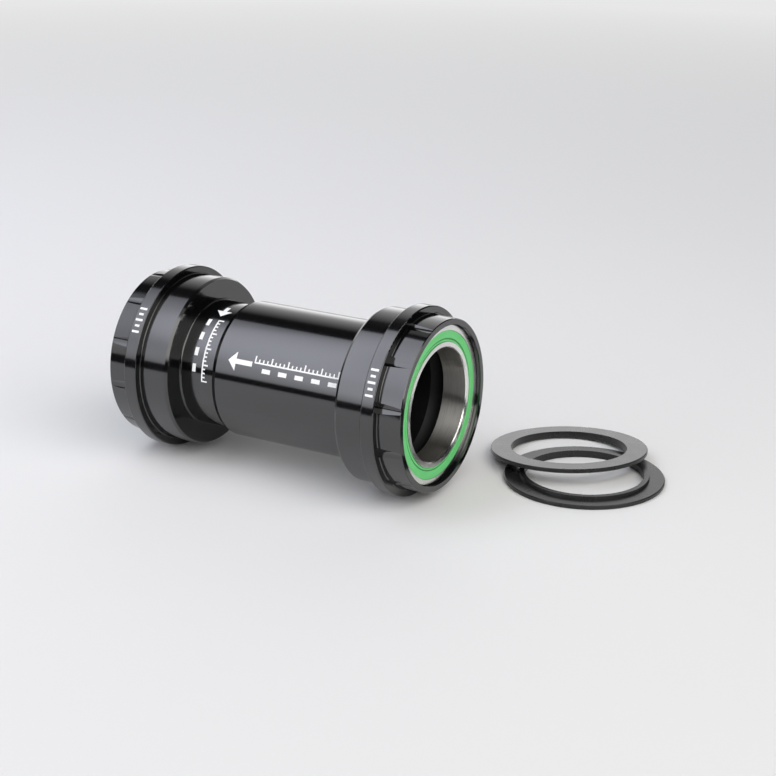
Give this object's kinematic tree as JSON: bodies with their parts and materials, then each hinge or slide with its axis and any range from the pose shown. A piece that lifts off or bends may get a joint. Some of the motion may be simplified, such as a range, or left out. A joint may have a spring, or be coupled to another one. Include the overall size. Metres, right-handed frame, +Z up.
{
  "type": "bottom bracket",
  "caption": "Threaded press-fit bottom bracket for a 30 mm spindle: two flanged notched cups with sealed bearings, a sleeve that joins them, and two loose bearing covers.",
  "frame": {"origin": "on the spindle axis at the middle of the 68 mm frame shell", "axes": "+Y along the spindle axis towards the non-drive side, +Z up, with the assembly lying on its two flanges at Z = -25 mm"},
  "size_m": [0.088, 0.1374, 0.05],
  "materials": {
    "cup_anodised": "glossy black anodised",
    "cover_anodised": "satin black anodised",
    "race_steel": "ground bearing steel",
    "ball_steel": "polished",
    "core_steel": "zinc plated",
    "seal_green": "smooth green rubber",
    "cage_nylon": "glass-filled nylon",
    "ring_rubber": "smooth"
  },
  "bodies": {
    "drive_side_cup": {"drive_side_cup": "cup_anodised", "drive_side_outer_race": "race_steel", "drive_side_outboard_seal": "seal_green", "drive_side_outboard_seal_core": "core_steel", "drive_side_inboard_seal": "seal_green", "drive_side_inboard_seal_core": "core_steel"},
    "drive_side_inner_race": {"drive_side_inner_race": "race_steel"},
    "drive_side_cage": {"drive_side_ball_cage": "cage_nylon", "drive_side_balls": "ball_steel"},
    "thread_seal": {"thread_o_ring": "ring_rubber"},
    "non_drive_side_cup": {"non_drive_side_cup": "cup_anodised", "non_drive_side_outer_race": "race_steel", "non_drive_side_outboard_seal": "seal_green", "non_drive_side_outboard_seal_core": "core_steel", "non_drive_side_inboard_seal": "seal_green", "non_drive_side_inboard_seal_core": "core_steel"},
    "non_drive_side_inner_race": {"non_drive_side_inner_race": "race_steel"},
    "non_drive_side_cage": {"non_drive_side_ball_cage": "cage_nylon", "non_drive_side_balls": "ball_steel"},
    "lower_cover": {"lower_bearing_cover": "cover_anodised"},
    "upper_cover": {"upper_bearing_cover": "cover_anodised"}
  },
  "joints": [
    {"name": "drive_side_spindle_turn", "type": "hinge", "parent": "drive_side_cup", "child": "drive_side_inner_race", "pos_m": [0, -0.0395, 0], "axis": [0, 1, 0], "continuous": true},
    {"name": "drive_side_cage_turn", "type": "hinge", "parent": "drive_side_cup", "child": "drive_side_cage", "pos_m": [0, -0.0395, 0], "axis": [0, 1, 0], "continuous": true},
    {"name": "stub_travel", "type": "slide", "parent": "drive_side_cup", "child": "thread_seal", "axis": [0, 1, 0], "range_m": [-0.00351, 0.00951]},
    {"name": "stub_screw", "type": "hinge", "parent": "thread_seal", "child": "non_drive_side_cup", "pos_m": [0, 0.0348, 0], "axis": [0, 1, 0], "range_deg": [-1260, 3420]},
    {"name": "non_drive_side_spindle_turn", "type": "hinge", "parent": "non_drive_side_cup", "child": "non_drive_side_inner_race", "pos_m": [0, 0.0403, 0], "axis": [0, 1, 0], "continuous": true},
    {"name": "non_drive_side_cage_turn", "type": "hinge", "parent": "non_drive_side_cup", "child": "non_drive_side_cage", "pos_m": [0, 0.0403, 0], "axis": [0, 1, 0], "continuous": true},
    {"name": "lower_cover_lift", "type": "slide", "parent": "drive_side_cup", "child": "lower_cover", "axis": [0, 0, 1], "range_m": [0, 0.05]},
    {"name": "upper_cover_lift", "type": "slide", "parent": "lower_cover", "child": "upper_cover", "axis": [0, 0, 1], "range_m": [0, 0.05]}
  ],
  "couplings": [
    {"joint": "drive_side_cage_turn", "follows": "drive_side_spindle_turn", "ratio": 0.45139},
    {"joint": "non_drive_side_cage_turn", "follows": "non_drive_side_spindle_turn", "ratio": 0.45139},
    {"joint": "stub_travel", "follows": "stub_screw", "m_per_rad": 0.00015915}
  ]
}
